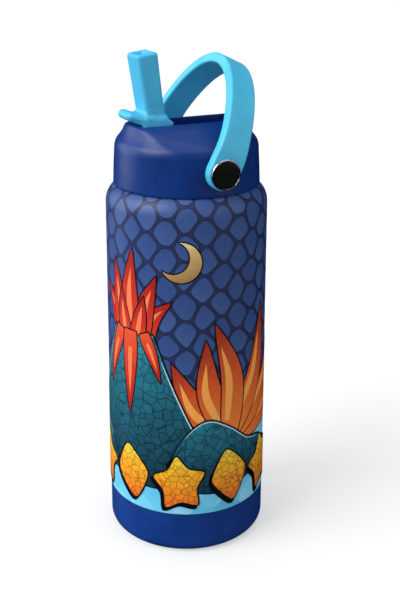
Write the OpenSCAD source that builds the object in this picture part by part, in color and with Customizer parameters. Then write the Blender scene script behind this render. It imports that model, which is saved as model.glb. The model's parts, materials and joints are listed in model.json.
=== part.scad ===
// Insulated kids water bottle: steel vacuum bottle, silicone boot, screw lid with a
// flip-up straw spout and a swinging carry loop. Millimetres, +Z up, spout towards -Y.
// The origin is the centre of the boot's underside.

/* [Bottle] */
// Diameter of the bottle and of the boot
body_d = 73; // [72:0.1:75]
// Height at which the shoulder starts
shoulder_z = 158.5; // [120:0.5:220]
// Radius of the rounded shoulder
shoulder_r = 10; // [9.8:0.1:10.4]
// Height of the silicone boot
boot_h = 19.7; // [14:0.1:28]
// Wall thickness of the boot
boot_t = 1.8; // [1.6:0.1:2]
// Steel thickness of the shell and of the liner
steel_t = 0.8; // [0.6:0.1:0.9]
// Vacuum gap between the shell and the liner
vacuum_gap = 2.6; // [2.4:0.1:2.8]

/* [Neck] */
// Outer radius of the neck between its threads
neck_r = 27.6; // [27.4:0.1:27.7]
// Lift of the lid for one turn
thread_pitch = 4; // [3.6:0.1:4.2]
// Turns of thread on the neck and in the lid
thread_turns = 1.3; // [1.1:0.1:1.4]

/* [Lid] */
// Radius of the lid at its lower edge
lid_r = 33; // [32.9:0.1:33.1]
// Height of the lid from its lower edge to its flat top
lid_h = 28; // [27.8:0.1:29]
// Width of the slot that the spout folds into
slot_w = 16; // [15:0.2:16.6]
// Outer radius of the drinking straw
straw_r = 3.5; // [3.2:0.1:3.5]

/* [Spout] */
// Length of the spout from its pivot to its tip
spout_len = 35.2; // [30:0.2:36]
// Width of the mouthpiece
mouth_w = 13.6; // [11:0.2:14]
// Depth of the mouthpiece
mouth_d = 9.4; // [8.4:0.1:9.6]
// Forward lean of the open spout
spout_lean = 8; // [4:0.5:9]

/* [Carry loop] */
// Distance from the pivots to the middle of the loop's top
loop_reach = 45.7; // [42:0.1:47]
// Width of the loop's band
loop_w = 13; // [9:0.5:13]
// Thickness of the loop's band
loop_t = 4.6; // [4:0.1:4.6]
// Backward lean of the loop at rest
loop_lean = 25.7; // [0:0.1:60]

/* [Hidden] */
$fn = 96;
eps = 0.01;
body_r = body_d / 2;
liner_inset = steel_t + vacuum_gap;
step_r = body_r - boot_t;
base_z = 2;
base_corner_r = 2.4;
boot_corner_r = 4.3;
weld_z = 6;
liner_floor_z = 9;
liner_corner_r = 8;
neck_top_z = shoulder_z + 20;

lid_z = shoulder_z + 8.5;
lid_top_z = lid_z + lid_h;
lid_skin = 1.8;
wall_out_r = 30.95;
wall_in_r = neck_r + 1.4;
deck_z = neck_top_z + 1.4;
deck_t = 1.9;
gasket_gap = 0.05;
thread_h = 1;
thread_z = lid_z + 2.8;
ring_steps = 40;

slot_floor_z = lid_top_z - 9.6;
slot_front_y = -24.2;
slot_back_y = 23.5;
slot_wall = 1.6;
roof_x = slot_w / 2 + 1.5;
roof_slope = 0.37;
floor_front_y = -7.2;
spout_y = -16.2;
spout_z = lid_top_z - 4.2;
barrel_r = 7.5;
barrel_w = slot_w - 0.6;
tab_w = 13;
seam_h = 12.4;
heel_t = 0.5;
mouth_corner_r = 1.8;
seat_r = 8.8;
port_r = 2.1;
seal_r = 3;
pin_r = 1.5;
pin_in = 5.2;
pin_out = 11;
spigot_r = 3.5;
sleeve_r = 4.8;
straw_wall = 0.8;
straw_end_z = liner_floor_z + 4;
vent_y = 10;

pivot_z = lid_z + 11;
loop_x = lid_r + 0.3 + loop_t / 2;
loop_end_r = 7.3;
loop_out_x = loop_x + loop_t / 2;
shoulder_screw_r = 3;
bushing_r = 4.2;
screw_thread_r = 2;
insert_r = 3.4;
boss_r = 5.7;
insert_in_x = 29.6;
insert_out_x = 32.6;
button_r = 6.7;
cap_r = 6.1;
head_x = loop_out_x + 0.1;
button_t = 1.6;

navy = [0.02, 0.16, 0.42];
sky = [0.27, 0.74, 0.92];
steel = [0.75, 0.76, 0.78];
clear = [0.85, 0.9, 0.93];
brass = [0.8, 0.65, 0.3];

// ---------- helpers ----------

// Filled half section of the bottle above z, shrunk by inset.
module body_section(z, inset) {
    r = body_r - inset;
    arc_r = shoulder_r - inset;
    arc_x = body_r - shoulder_r;
    translate([0, z]) square([r, shoulder_z - z]);
    intersection() {
        translate([arc_x, shoulder_z]) circle(r = arc_r);
        translate([0, shoulder_z]) square([r, arc_r + 1]);
    }
    translate([0, shoulder_z - eps]) square([arc_x, arc_r + eps]);
}

// Filled half section of a round can with a rounded lower edge.
module can_section(r, low_z, high_z, corner_r) {
    translate([0, low_z]) square([r - corner_r, corner_r + eps]);
    translate([0, low_z + corner_r]) square([r, high_z - low_z - corner_r]);
    intersection() {
        translate([r - corner_r, low_z + corner_r]) circle(r = corner_r);
        translate([0, low_z]) square([r, corner_r]);
    }
}

// Ring or disc from low_z to high_z.
module ring(out_r, in_r, low_z, high_z) {
    translate([0, 0, low_z]) difference() {
        cylinder(r = out_r, h = high_z - low_z);
        if (in_r > 0) translate([0, 0, -1]) cylinder(r = in_r, h = high_z - low_z + 2);
    }
}

// Places its children, made along +Z, along +X at the loop's pivot.
module at_pivot() {
    translate([0, 0, pivot_z]) rotate([0, 90, 0]) children();
}

// The same piece at both loop pivots.
module both_pivots() {
    at_pivot() children();
    mirror([1, 0, 0]) at_pivot() children();
}

// Cylinder along X through the spout's pivot axis.
module spout_axis_cylinder(r, width) {
    translate([-width / 2, spout_y, spout_z]) rotate([0, 90, 0]) cylinder(r = r, h = width);
}

// Frame of the leaning spout: +Z along the spout from its pivot.
module spout_frame() {
    translate([0, spout_y, spout_z]) rotate([spout_lean, 0, 0]) children();
}

// Extrudes a section drawn in Y and Z across X.
module across(width) {
    translate([-width / 2, 0, 0]) rotate([90, 0, 90]) linear_extrude(width) children();
}

module rounded_rect(w, d, r) {
    square([w - 2 * r, d], center = true);
    square([w, d - 2 * r], center = true);
    for (x = [-1, 1], y = [-1, 1])
        translate([x * (w / 2 - r), y * (d / 2 - r)]) circle(r = r, $fn = 48);
}

// One ridge of screw thread. side is 1 when it stands outwards and -1 inwards.
function ridge_ring(a, base_r, side, h, z) =
    let (tip = base_r + side * h, root = base_r - side * 0.4)
    [for (p = [[root, -1.1], [tip, -0.5], [tip, 0.5], [root, 1.1]])
        [p[0] * cos(a), p[0] * sin(a), z + p[1]]];

module thread_ridge(base_r, side, low_z, start_a) {
    steps = round(ring_steps * thread_turns);
    taper = 5;
    rings = [for (i = [0 : steps])
        let (grow = min(1, (i + 0.6) / taper, (steps - i + 0.6) / taper))
        ridge_ring(start_a + 360 * i / ring_steps, base_r, side, thread_h * grow,
                   low_z + thread_pitch * i / ring_steps)];
    points = [for (r = rings) each (side < 0 ? r : [r[3], r[2], r[1], r[0]])];
    faces = concat(
        [[0, 1, 2, 3]],
        [for (i = [0 : steps - 1], k = [0 : 3])
            let (a = 4 * i + k, b = 4 * i + (k + 1) % 4)
            each [[a, a + 4, b + 4], [a, b + 4, b]]],
        [[for (k = [3 : -1 : 0]) 4 * steps + k]]);
    polyhedron(points, faces, convexity = 8);
}

// ---------- bottle ----------

module outer_shell() {
    color(navy) union() {
        rotate_extrude() difference() {
            union() {
                body_section(boot_h, 0);
                translate([0, weld_z]) square([step_r, boot_h - weld_z + eps]);
                square_neck(neck_r, neck_top_z - steel_t);
            }
            body_section(boot_h + steel_t, steel_t);
            translate([0, weld_z - 1]) square([step_r - steel_t, boot_h - weld_z + 3]);
            square_neck(neck_r - steel_t, neck_top_z);
        }
        thread_ridge(neck_r, 1, thread_z, 0);
    }
}

// Filled half section of the neck.
module square_neck(r, top_z) {
    translate([0, shoulder_z]) square([r, top_z - shoulder_z]);
}

module inner_liner() {
    liner_r = body_r - liner_inset;
    color(steel) rotate_extrude() difference() {
        union() {
            can_section(liner_r, liner_floor_z, shoulder_z, liner_corner_r);
            body_section(shoulder_z - 1, liner_inset);
            square_neck(neck_r - steel_t, neck_top_z);
            translate([0, neck_top_z - steel_t]) square([neck_r, steel_t]);
        }
        can_section(liner_r - steel_t, liner_floor_z + steel_t, shoulder_z, liner_corner_r - steel_t);
        body_section(shoulder_z - 1, liner_inset + steel_t);
        square_neck(neck_r - 2 * steel_t, neck_top_z + 1);
    }
}

module base_plate() {
    dimple_r = 7;
    dimple_h = 2;
    color(steel) rotate_extrude() {
        difference() {
            can_section(step_r, base_z, weld_z, base_corner_r);
            difference() {
                can_section(step_r - steel_t, base_z + steel_t, weld_z + 1, base_corner_r - steel_t);
                square([dimple_r + steel_t, base_z + dimple_h + steel_t]);
            }
            translate([0, base_z - 1]) square([dimple_r, dimple_h + 1]);
        }
        // rim that the outer shell is welded over
        translate([step_r - 2 * steel_t, weld_z - 1]) square([steel_t + eps, 1]);
        translate([step_r - 2 * steel_t, weld_z - eps]) square([steel_t, 3]);
    }
}

module vacuum_seal() {
    color(steel) ring(5, 0, base_z + 2 - 0.8, base_z + 2);
}

module silicone_boot() {
    recess_r = 12;
    color(navy) rotate_extrude() difference() {
        can_section(body_r, 0, boot_h, boot_corner_r);
        can_section(step_r, base_z, boot_h + 1, base_corner_r);
        translate([0, -1]) square([recess_r, 1.8]);
    }
}

// ---------- lid ----------

module lid_gasket() {
    color("white") ring(wall_in_r - 0.1, neck_r - 1.8, neck_top_z + gasket_gap, deck_z + 0.7 - gasket_gap);
}

// Filled half section of the lid's outside: skirt, sloping shoulder and flat top.
module lid_outline() {
    polygon([
        [0, lid_z], [lid_r - 0.4, lid_z], [lid_r, lid_z + 0.4],
        [lid_r - 0.7, lid_z + 18], [lid_r - 1.1, lid_z + 19.3], [lid_r - 2, lid_z + 20.6],
        [lid_r - 3.8, lid_z + 22.6], [lid_r - 4.8, lid_z + 24.3], [lid_r - 5.5, lid_z + 26.2],
        [lid_r - 6, lid_top_z - 0.7], [lid_r - 6.8, lid_top_z], [0, lid_top_z]
    ]);
}

// Hollow under the lid's skin, above and around the threaded insert.
module lid_cavity() {
    polygon([
        [0, lid_z - 1], [lid_r - 0.8, lid_z - 1], [lid_r - 0.8, lid_z + 1.5],
        [wall_out_r, lid_z + 1.5], [wall_out_r, lid_z + 17.6], [lid_r - 5.8, lid_z + 22.4],
        [lid_r - 7.4, lid_top_z - lid_skin], [0, lid_top_z - lid_skin]
    ]);
}

// Everything under the two slopes that fall from the slot's rims to the sides.
module lid_roof(drop) {
    far = 40;
    rise = 2;
    high_z = lid_top_z - drop + rise;
    far_z = lid_top_z - drop - roof_slope * (far - roof_x);
    ridge_x = roof_x - rise / roof_slope;
    rotate([90, 0, 0]) linear_extrude(2 * far, center = true) polygon([
        [-far, lid_z - 2], [far, lid_z - 2], [far, far_z],
        [ridge_x, high_z], [-ridge_x, high_z], [-far, far_z]
    ]);
}

module lid_outer() {
    intersection() {
        rotate_extrude() lid_outline();
        lid_roof(0);
    }
}

module slot_block(grow, low_z) {
    translate([0, 0, low_z]) linear_extrude(lid_top_z - low_z + 1)
        translate([0, (slot_front_y + slot_back_y) / 2])
            rounded_rect(slot_w + 2 * grow, slot_back_y - slot_front_y + 2 * grow, 0.8 + grow);
}

module lid_shell() {
    tub_z = slot_floor_z - slot_wall;
    color(navy) difference() {
        union() {
            difference() {
                lid_outer();
                intersection() {
                    rotate_extrude() lid_cavity();
                    lid_roof(lid_skin);
                }
            }
            intersection() {
                lid_outer();
                slot_block(slot_wall, tub_z);
            }
            both_pivots() cylinder(r = boss_r, h = lid_r - 0.26);
        }
        // hollow that the insert fills, cut through the pivot bosses again
        ring(wall_out_r, 0, lid_z - 1, tub_z);
        slot_block(0, slot_floor_z);
        // the front of the slot is open down to the insert's seat
        translate([-slot_w / 2, slot_front_y, tub_z - 1])
            cube([slot_w, floor_front_y - slot_front_y, slot_floor_z - tub_z + 3]);
        spout_axis_cylinder(pin_r, 2 * pin_out);
        both_pivots() cylinder(r = insert_r, h = lid_r + 5);
        // flat seats for the washers
        both_pivots() translate([0, 0, lid_r - 0.26]) cylinder(r = 6.2, h = 5);
        translate([0, vent_y, tub_z - 1]) cylinder(r = 1, h = 5);
    }
}

module lid_insert() {
    boss_z = slot_floor_z - 0.2;
    color("gainsboro") difference() {
        union() {
            rotate_extrude() difference() {
                translate([0, lid_z + 1.6]) square([wall_out_r, deck_z + deck_t - lid_z - 1.6]);
                translate([0, lid_z]) square([wall_in_r, deck_z - lid_z]);
                translate([neck_r - 1.9, deck_z - 1]) square([wall_in_r - neck_r + 1.9, 1.7]);
            }
            translate([-slot_w / 2 + 0.05, slot_front_y + 0.05, deck_z + eps])
                cube([slot_w - 0.1, floor_front_y - slot_front_y - 0.1, boss_z - deck_z - eps]);
            translate([0, spout_y, 0]) ring(spigot_r, 0, lid_z + 5.5, deck_z + eps);
            thread_ridge(wall_in_r, -1, thread_z - 0.1, 180);
        }
        spout_axis_cylinder(seat_r, slot_w + 2);
        translate([0, spout_y, lid_z]) cylinder(r = port_r, h = lid_h);
        translate([0, spout_y, deck_z + 0.7]) cylinder(r = seal_r, h = 10);
        translate([0, vent_y, lid_z]) cylinder(r = 1.6, h = lid_h);
        both_pivots() translate([0, 0, insert_in_x - 0.1]) cylinder(r = insert_r, h = 5);
    }
}

module spout_pins() {
    color(steel) for (side = [0, 1]) mirror([side, 0, 0])
        translate([pin_in, spout_y, spout_z]) rotate([0, 90, 0])
            cylinder(r = pin_r, h = pin_out - pin_in);
}

module spout_seal() {
    color("white") difference() {
        translate([0, spout_y, 0]) ring(seal_r, port_r, deck_z + 0.7, spout_z - barrel_r + 1);
        spout_axis_cylinder(barrel_r + 0.1, slot_w);
    }
}

module straw_coupler() {
    color("white") translate([0, spout_y, 0])
        ring(sleeve_r, spigot_r, lid_z - 1, deck_z - 0.9);
}

module straw() {
    notch = 3;
    color(clear) difference() {
        translate([0, spout_y, 0]) ring(straw_r, straw_r - straw_wall, straw_end_z, lid_z + 5.2);
        translate([0, spout_y, straw_end_z]) rotate([45, 0, 0])
            cube([4 * straw_r, notch, notch], center = true);
    }
}

module vent_valve() {
    color("white") translate([0, vent_y, 0]) {
        ring(4.5, 0, deck_z - 0.9, deck_z);
        ring(1.6, 0, deck_z - eps, deck_z + deck_t);
        ring(2.4, 0, deck_z + deck_t, deck_z + deck_t + 1.2);
    }
}

// ---------- loop pivots, fixed to the lid ----------

module pivot_inserts() {
    color(brass) both_pivots() ring(insert_r, screw_thread_r, insert_in_x, insert_out_x);
}

module pivot_screws() {
    color(steel) both_pivots() {
        ring(screw_thread_r, 0, insert_in_x + 0.2, insert_out_x + eps);
        ring(shoulder_screw_r, 0, insert_out_x, head_x + eps);
        ring(cap_r - 0.1, 0, head_x, head_x + 0.8);
    }
}

module pivot_washers() {
    color("white") both_pivots() ring(5.6, shoulder_screw_r, lid_r - 0.25, lid_r + 0.2);
}

module pivot_rings() {
    color("silver") both_pivots() difference() {
        union() {
            ring(button_r, 0, head_x, head_x + 1);
            translate([0, 0, head_x + 1]) cylinder(r1 = button_r, r2 = cap_r + 0.2, h = button_t - 1);
        }
        translate([0, 0, head_x - 1]) cylinder(r = cap_r, h = button_t + 2);
    }
}

module pivot_caps() {
    color([0.05, 0.05, 0.05]) both_pivots() ring(cap_r, 0, head_x + 0.8, head_x + button_t - 0.15);
}

// ---------- spout ----------

// Section of the hard spout base below the mouthpiece, in Y and Z.
module base_section() {
    back_a = 32;
    inside_r = barrel_r - 0.6;
    polygon([
        [spout_y - inside_r, spout_z + 1.2], [spout_y - barrel_r - 0.2, lid_top_z + 0.6],
        [-23.2, lid_top_z + 2.4], [-21.4, lid_top_z + 4], [-12.4, lid_top_z + 3.9],
        [-9.1, lid_top_z],
        [spout_y + inside_r * cos(back_a), spout_z + inside_r * sin(back_a)]
    ]);
    translate([spout_y, spout_z]) circle(r = barrel_r);
}

// Section of the thumb tab, which rises forwards over the lid's rim.
module tab_section() {
    tip_y = -28.6;
    tip_z = lid_top_z + 3.85;
    tip_r = 2.05;
    polygon([
        [-20, lid_top_z + 0.3], [-24.4, lid_top_z + 0.3], [tip_y - 0.7, tip_z - 1.7],
        [tip_y + 0.6, tip_z + 1.75], [-26.4, lid_top_z + 5.35], [-24.2, lid_top_z + 4.4],
        [-22.3, lid_top_z + 3.8], [-20, lid_top_z + 3.6]
    ]);
    translate([tip_y, tip_z]) circle(r = tip_r, $fn = 48);
}

module spout_base() {
    spigot_h = 22;
    inside_z = 5;
    color(sky) difference() {
        union() {
            across(barrel_w) base_section();
            across(tab_w) tab_section();
            // lower part of the post, with a heel behind the mouthpiece
            spout_frame() translate([0, heel_t / 2, inside_z]) linear_extrude(seam_h - 0.05 - inside_z)
                rounded_rect(mouth_w, mouth_d + heel_t, mouth_corner_r);
            spout_frame() translate([0, 0, inside_z]) cylinder(r = spigot_r, h = spigot_h - inside_z);
        }
        translate([0, spout_y, spout_z - barrel_r - 1]) cylinder(r = port_r + 0.5, h = barrel_r + 2);
        spout_frame() cylinder(r = port_r + 0.2, h = spigot_h + 1);
        // blind bores for the stub pins, clear of the water channel
        for (side = [0, 1]) mirror([side, 0, 0])
            translate([pin_in - 0.2, spout_y, spout_z]) rotate([0, 90, 0])
                cylinder(r = pin_r + 0.05, h = barrel_w);
    }
}

module mouthpiece() {
    low = seam_h;
    lip = 2;
    color(sky) spout_frame() difference() {
        union() {
            translate([0, 0, low]) linear_extrude(spout_len - low - lip)
                rounded_rect(mouth_w, mouth_d, mouth_corner_r);
            translate([0, 0, spout_len - lip - eps]) linear_extrude(lip / 2 + eps)
                rounded_rect(mouth_w - 0.6, mouth_d - 0.6, mouth_corner_r - 0.3);
            translate([0, 0, spout_len - lip / 2 - eps]) linear_extrude(lip / 2 + eps)
                rounded_rect(mouth_w - 2, mouth_d - 2, mouth_corner_r - 0.8);
        }
        translate([0, 0, low - 1]) cylinder(r = spigot_r, h = 22 - low + 1);
        cylinder(r = port_r + 0.2, h = spout_len + 1);
    }
}

// ---------- carry loop ----------

function bezier(a, b, c, d, t) =
    a * pow(1 - t, 3) + b * 3 * t * pow(1 - t, 2) + c * 3 * t * t * (1 - t) + d * pow(t, 3);

function slope(a, b, c, d, t) =
    (b - a) * 3 * pow(1 - t, 2) + (c - b) * 6 * t * (1 - t) + (d - c) * 3 * t * t;

// One side of the band from the pivot to the top, offset from its middle line.
function band_side(off) =
    let (a = [loop_x, loop_end_r], b = [loop_x, 18.5], c = [21, loop_reach], d = [0, loop_reach])
    [for (i = [0 : 20])
        let (t = i / 20, p = bezier(a, b, c, d, t), s = slope(a, b, c, d, t), n = norm(s))
        p + [s[1], -s[0]] * off / n];

function mirrored(line) = [for (i = [len(line) - 1 : -1 : 0]) [-line[i][0], line[i][1]]];

module band_outline() {
    outer = band_side(loop_t / 2);
    inner = band_side(-loop_t / 2);
    out_x = loop_x + loop_t / 2;
    in_x = loop_x - loop_t / 2;
    low = -loop_end_r - 1;
    polygon(concat(
        [[out_x, low]], outer, mirrored(outer), [[-out_x, low], [-in_x, low]],
        [for (p = inner) [-p[0], p[1]]], mirrored([for (p = inner) [-p[0], p[1]]]),
        [[in_x, low]]));
}

// Side view of the band: a round eye that narrows into the band.
module band_side_view() {
    half = loop_w / 2;
    circle(r = loop_end_r);
    polygon([
        [0.25 - loop_end_r, 0], [loop_end_r - 0.25, 0], [half + 0.4, 13], [half, 20],
        [half, loop_reach + loop_t], [-half, loop_reach + loop_t], [-half, 20], [-half - 0.4, 13]
    ]);
}

module carry_loop() {
    color(sky) translate([0, 0, pivot_z]) rotate([-loop_lean, 0, 0]) difference() {
        intersection() {
            translate([0, loop_end_r, 0]) rotate([90, 0, 0])
                linear_extrude(2 * loop_end_r) band_outline();
            across(2 * loop_out_x + 2) band_side_view();
        }
        rotate([0, 90, 0]) cylinder(r = bushing_r, h = 3 * loop_out_x, center = true);
    }
}

module loop_bushings() {
    color("white") both_pivots()
        ring(bushing_r, shoulder_screw_r + 0.05, loop_out_x - loop_t, loop_out_x);
}

outer_shell();
inner_liner();
base_plate();
vacuum_seal();
silicone_boot();
lid_gasket();
lid_shell();
lid_insert();
spout_pins();
spout_seal();
straw_coupler();
straw();
vent_valve();
pivot_inserts();
pivot_screws();
pivot_washers();
pivot_rings();
pivot_caps();
spout_base();
mouthpiece();
carry_loop();
loop_bushings();
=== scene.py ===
"""Looks of the kids water bottle. Lengths are millimetres until a mesh is made."""

import json
import math
import random

import bmesh
import bpy
import numpy as np
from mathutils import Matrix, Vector


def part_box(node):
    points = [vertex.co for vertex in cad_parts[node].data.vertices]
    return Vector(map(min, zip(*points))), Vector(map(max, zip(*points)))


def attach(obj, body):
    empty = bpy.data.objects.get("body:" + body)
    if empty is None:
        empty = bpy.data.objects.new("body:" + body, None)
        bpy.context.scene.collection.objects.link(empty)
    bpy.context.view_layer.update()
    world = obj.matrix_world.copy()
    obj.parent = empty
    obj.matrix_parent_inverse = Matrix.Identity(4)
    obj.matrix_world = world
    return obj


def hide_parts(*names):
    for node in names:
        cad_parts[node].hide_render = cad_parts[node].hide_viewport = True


MM = 0.001
TURN = 2 * math.pi

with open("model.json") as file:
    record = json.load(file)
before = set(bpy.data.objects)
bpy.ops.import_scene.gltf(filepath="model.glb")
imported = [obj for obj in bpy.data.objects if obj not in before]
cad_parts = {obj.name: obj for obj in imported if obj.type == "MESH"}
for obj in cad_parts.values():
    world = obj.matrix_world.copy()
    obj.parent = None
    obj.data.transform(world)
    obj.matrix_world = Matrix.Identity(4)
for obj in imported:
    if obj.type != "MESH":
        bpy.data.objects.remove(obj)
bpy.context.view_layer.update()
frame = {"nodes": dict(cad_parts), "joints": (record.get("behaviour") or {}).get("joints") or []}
random.seed(7)


# ---- sizes from the frame


def node_box(name):
    """Low and high corner of a CAD node."""
    low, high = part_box(name)
    return np.array(low) / MM, np.array(high) / MM


def joint_point(name):
    """A point on a joint's axis."""
    joint = next(j for j in frame["joints"] if j["name"] == name)
    return np.array(joint["pos_m"]) / MM


shell_low, shell_high = node_box("outer_shell")
lid_low, lid_high = node_box("lid_shell")
ring_high = node_box("pivot_rings")[1]

BODY_R = shell_high[0]
BOOT_TOP = node_box("silicone_boot")[1][2]
NECK_TOP = node_box("inner_liner")[1][2]
STEEL_T = NECK_TOP - shell_high[2]
SHELL_LOW = shell_low[2]
SHOULDER_Z = NECK_TOP - 20
SHOULDER_R = 10
NECK_R = 27.6
STEP_R = node_box("base_plate")[1][0]
LID_LOW, LID_TOP = lid_low[2], lid_high[2]
LID_R = lid_high[0]
WALL_R = node_box("lid_insert")[1][0]
SPOUT_AXIS = joint_point("spout_flip")
SPOUT_LEAN = math.radians(8)
BARREL_R = 7.5
BARREL_W = 2 * node_box("spout_base")[1][0]
SLOT_W = BARREL_W + 0.6
SLOT_FLOOR = LID_TOP - 9.6
SLOT_Y = (-24.2, 23.5)
SEAM_H = 12.4
SEAM_GAP = 0.02
HEEL_T = 0.5
SPOUT_LEN = 35.2
POST_CORNER = 1.7
LOOP_AXIS = joint_point("loop_swing")
LOOP_OUT_X = node_box("carry_loop")[1][0]
LOOP_LEAN = math.radians(25.7)
LOOP_T = 4.6
LOOP_REACH = 45.7
LOOP_HALF_W = 6.5
LOOP_END_R = 7.3
BUTTON_R = ring_high[2] - LOOP_AXIS[2]
BUTTON_X = ring_high[0]


# ---- materials


def linear(hex_code):
    """Linear colour of an sRGB hex code."""
    parts = [int(hex_code[i : i + 2], 16) / 255 for i in (0, 2, 4)]
    parts = [c / 12.92 if c <= 0.04045 else ((c + 0.055) / 1.055) ** 2.4 for c in parts]
    return (*parts, 1.0)


class Paint:
    """A node material, built by adding nodes to its principled shader."""

    def __init__(self, name, roughness=0.4, metallic=0.0, **fixed):
        self.material = bpy.data.materials.new(name)
        self.material.use_nodes = True
        self.tree = self.material.node_tree
        self.shader = self.tree.nodes["Principled BSDF"]
        for key, value in {"Roughness": roughness, "Metallic": metallic, **fixed}.items():
            self.shader.inputs[key.replace("_", " ")].default_value = value

    def node(self, kind, links=(), **settings):
        """Shader node. links are (output, input) pairs, and in_ marks the value of an input."""
        made = self.tree.nodes.new("ShaderNode" + kind)
        for key, value in settings.items():
            if key.startswith("in_"):
                made.inputs[key[3:].replace("_", " ")].default_value = value
            else:
                setattr(made, key, value)
        for source, target in links:
            self.tree.links.new(source, made.inputs[target])
        return made

    def link(self, source, target):
        self.tree.links.new(source, self.shader.inputs[target])

    def position(self):
        return self.node("TexCoord").outputs["Object"]

    def ramp(self, factor, stops):
        """Colour ramp. A stop is a place with an sRGB hex code or a linear grey."""
        made = self.node("ValToRGB", [(factor, "Fac")])
        while len(made.color_ramp.elements) < len(stops):
            made.color_ramp.elements.new(0.5)
        for element, (place, colour) in zip(made.color_ramp.elements, stops):
            element.position = place
            element.color = linear(colour) if isinstance(colour, str) else (colour,) * 3 + (1,)
        return made.outputs["Color"]

    def noise(self, size_mm, detail):
        scale = 1 / (size_mm * MM)
        links = [(self.position(), "Vector")]
        return self.node("TexNoise", links, in_Scale=scale, in_Detail=detail).outputs["Fac"]

    def cells(self, size_mm, feature, output):
        scale = 1 / (size_mm * MM)
        links = [(self.position(), "Vector")]
        return self.node("TexVoronoi", links, feature=feature, in_Scale=scale).outputs[output]

    def calc(self, operation, *values):
        """Math node. Each value is a number or another node's output."""
        made = self.node("Math", operation=operation)
        for value, target in zip(values, made.inputs):
            if isinstance(value, (int, float)):
                target.default_value = value
            else:
                self.tree.links.new(value, target)
        return made.outputs[0]

    def product(self, colour, shade):
        """One colour multiplied by another."""
        made = self.node("Mix", [(colour, 6), (shade, 7)], data_type="RGBA", blend_type="MULTIPLY")
        made.inputs[0].default_value = 1.0
        return made.outputs[2]

    def bump(self, height, strength, depth_mm):
        depth = depth_mm * MM
        made = self.node("Bump", [(height, "Height")], in_Strength=strength, in_Distance=depth)
        self.link(made.outputs["Normal"], "Normal")

    def roughness_band(self, factor, low, high):
        made = self.node("MapRange", [(factor, "Value")], in_To_Min=low, in_To_Max=high)
        self.link(made.outputs["Result"], "Roughness")

    def glow(self, strength):
        self.shader.inputs["Emission Color"].default_value = (1, 1, 1, 1)
        self.shader.inputs["Emission Strength"].default_value = strength


def moulded(name, dark, mid, light, rough, grain_mm=0.35, depth=0.02, **fixed):
    """Moulded plastic or silicone: a slow drift in colour, fine grain and uneven gloss."""
    paint = Paint(name, rough, **fixed)
    drift = paint.noise(14, 2)
    colour = paint.ramp(drift, [(0.3, dark), (0.5, mid), (0.7, light)])
    speck = paint.noise(grain_mm, 2)
    shade = paint.ramp(speck, [(0.3, 0.94), (0.7, 1.0)])
    paint.link(paint.product(colour, shade), "Base Color")
    paint.roughness_band(paint.noise(5, 3), rough - 0.05, rough + 0.06)
    paint.bump(speck, 0.25, depth)
    return paint.material


def brushed(name, dark, light, rough, stretch=(1, 1, 40)):
    """Brushed metal, with fine lines across the stretched axis."""
    paint = Paint(name, rough, 1.0, Anisotropic=0.4)
    place = paint.node("Mapping", [(paint.position(), "Vector")], in_Scale=stretch).outputs[0]
    lines = paint.node("TexNoise", [(place, "Vector")], in_Scale=900, in_Detail=3).outputs["Fac"]
    paint.link(paint.ramp(lines, [(0.3, dark), (0.7, light)]), "Base Color")
    paint.roughness_band(lines, rough - 0.06, rough + 0.1)
    paint.bump(lines, 0.15, 0.01)
    return paint.material


def spun_black(name):
    """Glossy black face with faint turned rings round the button's axis."""
    radians_per_metre = 26000
    paint = Paint(name, 0.16, 0.0, Coat_Weight=0.6, Coat_Roughness=0.06)
    split = paint.node("SeparateXYZ", [(paint.position(), "Vector")])
    lift = paint.calc("SUBTRACT", split.outputs["Z"], LOOP_AXIS[2] * MM)
    flat = paint.node("CombineXYZ", [(split.outputs["Y"], "X"), (lift, "Y")])
    reach = paint.node("VectorMath", [(flat.outputs[0], 0)], operation="LENGTH")
    rings = paint.calc("MULTIPLY", reach.outputs["Value"], radians_per_metre)
    speck = paint.noise(0.6, 3)
    paint.link(paint.ramp(speck, [(0.3, "0b0b0c"), (0.7, "151517")]), "Base Color")
    paint.bump(paint.calc("SINE", rings), 0.12, 0.01)
    return paint.material


def inked(name, stops, grain_mm=0.8, line_mm=None, line_width=0.06, line_dark=0.35):
    """Printed ink: a ramp along each shape's tone, with optional thin cell lines."""
    paint = Paint(name, 0.42, Specular_IOR_Level=0.35)
    tone = paint.node("Attribute", attribute_name="tone").outputs["Fac"]
    wobble = 0.12
    shift = paint.calc("MULTIPLY_ADD", paint.noise(grain_mm * 3, 3), 2 * wobble, -wobble)
    colour = paint.ramp(paint.calc("ADD", tone, shift), stops)
    if line_mm:
        edge = paint.cells(line_mm, "DISTANCE_TO_EDGE", "Distance")
        lines = paint.ramp(edge, [(line_width * 0.5, line_dark), (line_width, 1.0)])
        colour = paint.product(colour, lines)
        cell = paint.cells(line_mm, "F1", "Color")
        colour = paint.product(colour, paint.ramp(cell, [(0.2, 0.86), (0.8, 1.0)]))
    dots = paint.ramp(paint.noise(0.25, 1), [(0.35, 0.95), (0.65, 1.0)])
    paint.link(paint.product(colour, dots), "Base Color")
    paint.bump(paint.noise(0.4, 2), 0.12, 0.01)
    return paint.material


def facets(name):
    """Light blue printed band, broken into flat crystal-like facets."""
    paint = Paint(name, 0.42)
    cell = paint.cells(9, "F1", "Color")
    small = paint.cells(5, "F1", "Color")
    colour = paint.ramp(cell, [(0.2, "5cc4ee"), (0.5, "74d2f5"), (0.8, "8fdcf8")])
    shade = paint.ramp(small, [(0.2, 0.93), (0.8, 1.0)])
    paint.link(paint.product(colour, shade), "Base Color")
    paint.bump(paint.noise(0.4, 2), 0.12, 0.01)
    return paint.material


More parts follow.
